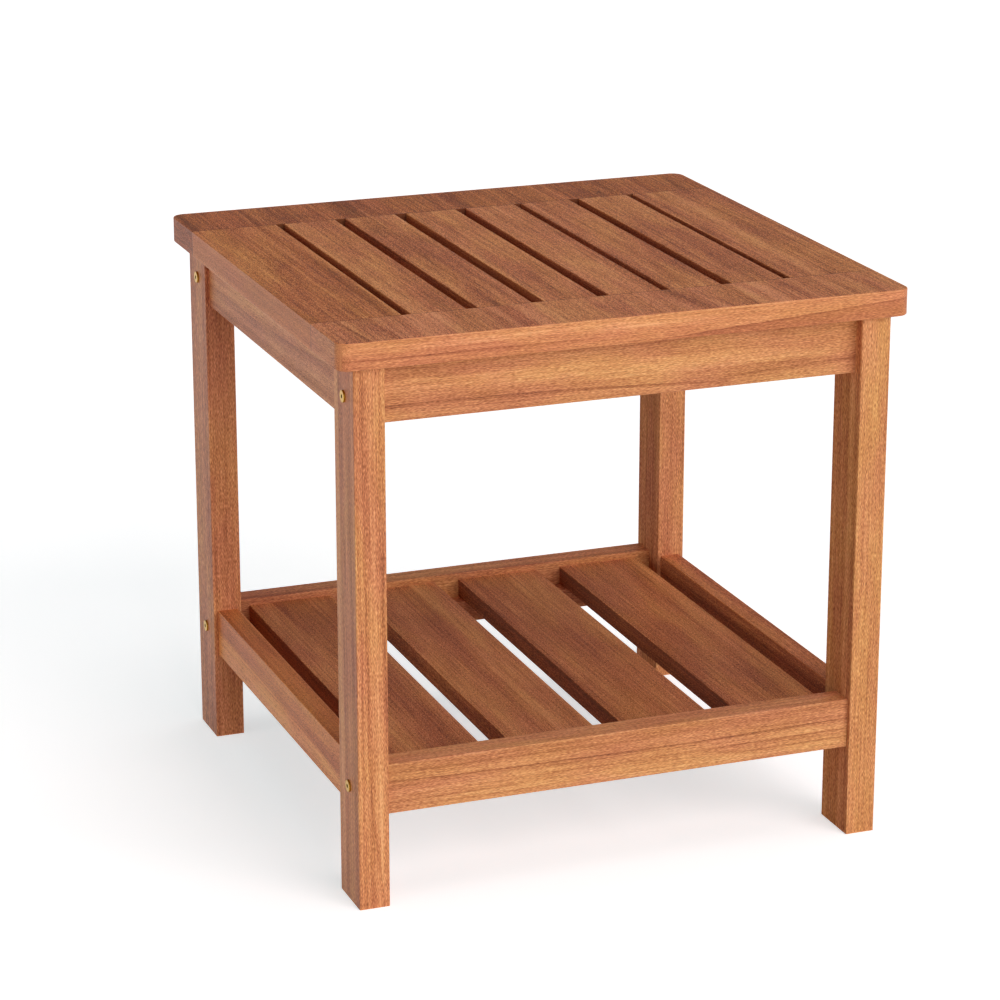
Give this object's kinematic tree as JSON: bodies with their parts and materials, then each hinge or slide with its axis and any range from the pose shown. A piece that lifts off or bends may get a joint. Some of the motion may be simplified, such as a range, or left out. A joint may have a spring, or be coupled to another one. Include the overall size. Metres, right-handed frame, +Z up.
{
  "type": "end table with shelf",
  "caption": "Small wooden end table with a slatted top, straight legs, an apron all round and a slatted lower shelf, held together by brass-coloured bolts.",
  "frame": {"origin": "on the floor, under the centre of the table", "axes": "+X to the right seen from the front, +Y to the back, +Z up"},
  "size_m": [0.463, 0.445, 0.45],
  "materials": {
    "leg_wood": "satin oiled reddish hardwood",
    "board_wood": "satin oiled reddish hardwood",
    "shelf_wood": "satin oiled reddish hardwood",
    "top_wood": "satin oiled reddish hardwood",
    "batten_wood": "oiled reddish hardwood, sawn",
    "bolt_brass": "satin brass-coloured plating",
    "dowel_beech": "plain",
    "screw_steel": "zinc plated"
  },
  "bodies": {
    "root": {"leg_front_left": "leg_wood", "leg_front_right": "leg_wood", "leg_back_left": "leg_wood", "leg_back_right": "leg_wood", "apron_front": "board_wood", "apron_back": "board_wood", "apron_left": "board_wood", "apron_right": "board_wood", "shelf_rail_front": "board_wood", "shelf_rail_back": "board_wood", "side_rail_left": "board_wood", "side_rail_right": "board_wood", "shelf_slat_1": "shelf_wood", "shelf_slat_2": "shelf_wood", "shelf_slat_3": "shelf_wood", "shelf_slat_4": "shelf_wood", "top_board_front": "top_wood", "top_board_back": "top_wood", "top_board_left": "top_wood", "top_board_right": "top_wood", "top_slat_1": "top_wood", "top_slat_2": "top_wood", "top_slat_3": "top_wood", "top_slat_4": "top_wood", "top_slat_5": "top_wood", "top_slat_6": "top_wood", "top_batten_front": "batten_wood", "top_batten_back": "batten_wood", "apron_bolts": "bolt_brass", "shelf_bolts": "bolt_brass", "apron_locating_dowels": "dowel_beech", "shelf_locating_dowels": "dowel_beech", "side_frame_dowels": "dowel_beech", "top_dowels": "dowel_beech", "top_screws": "screw_steel", "batten_screws": "screw_steel", "shelf_slat_screws": "screw_steel"}
  },
  "joints": []
}
